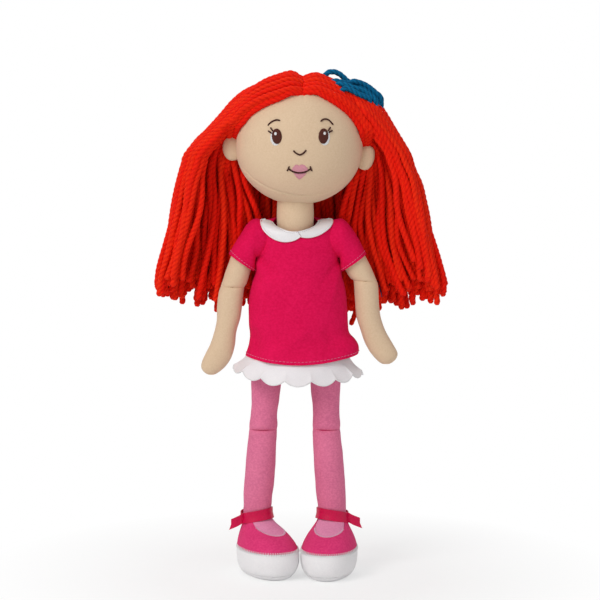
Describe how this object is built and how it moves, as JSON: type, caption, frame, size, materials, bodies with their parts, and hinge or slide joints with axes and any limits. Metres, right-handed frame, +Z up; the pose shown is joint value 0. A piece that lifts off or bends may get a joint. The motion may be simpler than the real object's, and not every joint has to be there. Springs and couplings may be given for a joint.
{
  "type": "rag doll",
  "caption": "Stuffed cloth rag doll with long yarn hair, a jersey tunic, scalloped petticoat, tights and soft shoes, bending at its sewn joints.",
  "frame": {"origin": "on the floor under the middle of the doll's box", "axes": "+Z up, the doll faces -Y, and its left side is +X"},
  "size_m": [0.2174, 0.0876, 0.378],
  "materials": {
    "skin": "short-napped tan cloth",
    "yarn_red": "thick twisted orange-red yarn",
    "yarn_blue": "thick twisted blue yarn",
    "thread": "brown sewing thread",
    "tights": "heathered pink jersey",
    "instep": "light pink jersey",
    "shoe": "magenta-pink jersey",
    "white_cloth": "plain white cloth",
    "satin": "smooth white satin",
    "ribbon": "crimson-pink satin ribbon",
    "jersey": "heathered magenta-pink jersey"
  },
  "bodies": {
    "torso": {"torso": "skin", "neck": "skin", "dress_front": "jersey", "dress_back_left": "jersey", "dress_back_right": "jersey", "back_closure_tape": "white_cloth", "collar_left": "satin", "collar_right": "satin", "petticoat": "satin"},
    "head": {"head": "skin", "ear_left": "skin", "ear_right": "skin", "hair_cap_left": "yarn_red", "hair_cap_right": "yarn_red", "hair_blue_bundle": "yarn_blue"},
    "hair_left": {"hair_curtain_left": "yarn_red"},
    "hair_right": {"hair_curtain_right": "yarn_red"},
    "upper_arm_left": {"upper_arm_left": "skin", "sleeve_left": "jersey", "elbow_stitch_left": "thread"},
    "upper_arm_right": {"upper_arm_right": "skin", "sleeve_right": "jersey", "elbow_stitch_right": "thread"},
    "forearm_left": {"forearm_left": "skin"},
    "forearm_right": {"forearm_right": "skin"},
    "thigh_left": {"thigh_left": "tights", "knee_stitch_left": "tights"},
    "thigh_right": {"thigh_right": "tights", "knee_stitch_right": "tights"},
    "shin_left": {"shin_left": "tights", "instep_left": "instep", "shoe_upper_left": "shoe", "sole_wall_left": "white_cloth", "sole_bottom_left": "white_cloth", "ankle_strap_left": "ribbon"},
    "shin_right": {"shin_right": "tights", "instep_right": "instep", "shoe_upper_right": "shoe", "sole_wall_right": "white_cloth", "sole_bottom_right": "white_cloth", "ankle_strap_right": "ribbon"}
  },
  "joints": [
    {"name": "neck_nod", "type": "hinge", "parent": "torso", "child": "head", "pos_m": [-0.002, -0.004, 0.284], "axis": [1, 0, 0], "range_deg": [-4, 20]},
    {"name": "hair_left_swing", "type": "hinge", "parent": "head", "child": "hair_left", "pos_m": [0.05, 0.0275, 0.332], "axis": [1, 0, 0], "range_deg": [0, 35]},
    {"name": "hair_right_swing", "type": "hinge", "parent": "head", "child": "hair_right", "pos_m": [-0.05, 0.0275, 0.332], "axis": [1, 0, 0], "range_deg": [0, 35]},
    {"name": "shoulder_left_swing", "type": "hinge", "parent": "torso", "child": "upper_arm_left", "pos_m": [0.0319, -0.004, 0.255], "axis": [-1, 0, 0], "range_deg": [-8, 90]},
    {"name": "shoulder_right_swing", "type": "hinge", "parent": "torso", "child": "upper_arm_right", "pos_m": [-0.0319, -0.004, 0.255], "axis": [-1, 0, 0], "range_deg": [-8, 90]},
    {"name": "elbow_left_bend", "type": "hinge", "parent": "upper_arm_left", "child": "forearm_left", "pos_m": [0.0499, -0.004, 0.2235], "axis": [-1, 0, 0], "range_deg": [0, 90]},
    {"name": "elbow_right_bend", "type": "hinge", "parent": "upper_arm_right", "child": "forearm_right", "pos_m": [-0.0491, -0.004, 0.219], "axis": [-1, 0, 0], "range_deg": [0, 90]},
    {"name": "hip_left_swing", "type": "hinge", "parent": "torso", "child": "thigh_left", "pos_m": [0.0203, -0.004, 0.172], "axis": [-1, 0, 0], "range_deg": [-20, 90], "deforming": ["dress_front", "dress_back_left", "dress_back_right", "petticoat"]},
    {"name": "hip_right_swing", "type": "hinge", "parent": "torso", "child": "thigh_right", "pos_m": [-0.022, -0.004, 0.172], "axis": [-1, 0, 0], "range_deg": [-20, 90], "deforming": ["dress_front", "dress_back_left", "dress_back_right", "petticoat"]},
    {"name": "knee_left_bend", "type": "hinge", "parent": "thigh_left", "child": "shin_left", "pos_m": [0.0214, 0, 0.111], "axis": [1, 0, 0], "range_deg": [0, 90]},
    {"name": "knee_right_bend", "type": "hinge", "parent": "thigh_right", "child": "shin_right", "pos_m": [-0.0263, 0, 0.111], "axis": [1, 0, 0], "range_deg": [0, 90]}
  ]
}
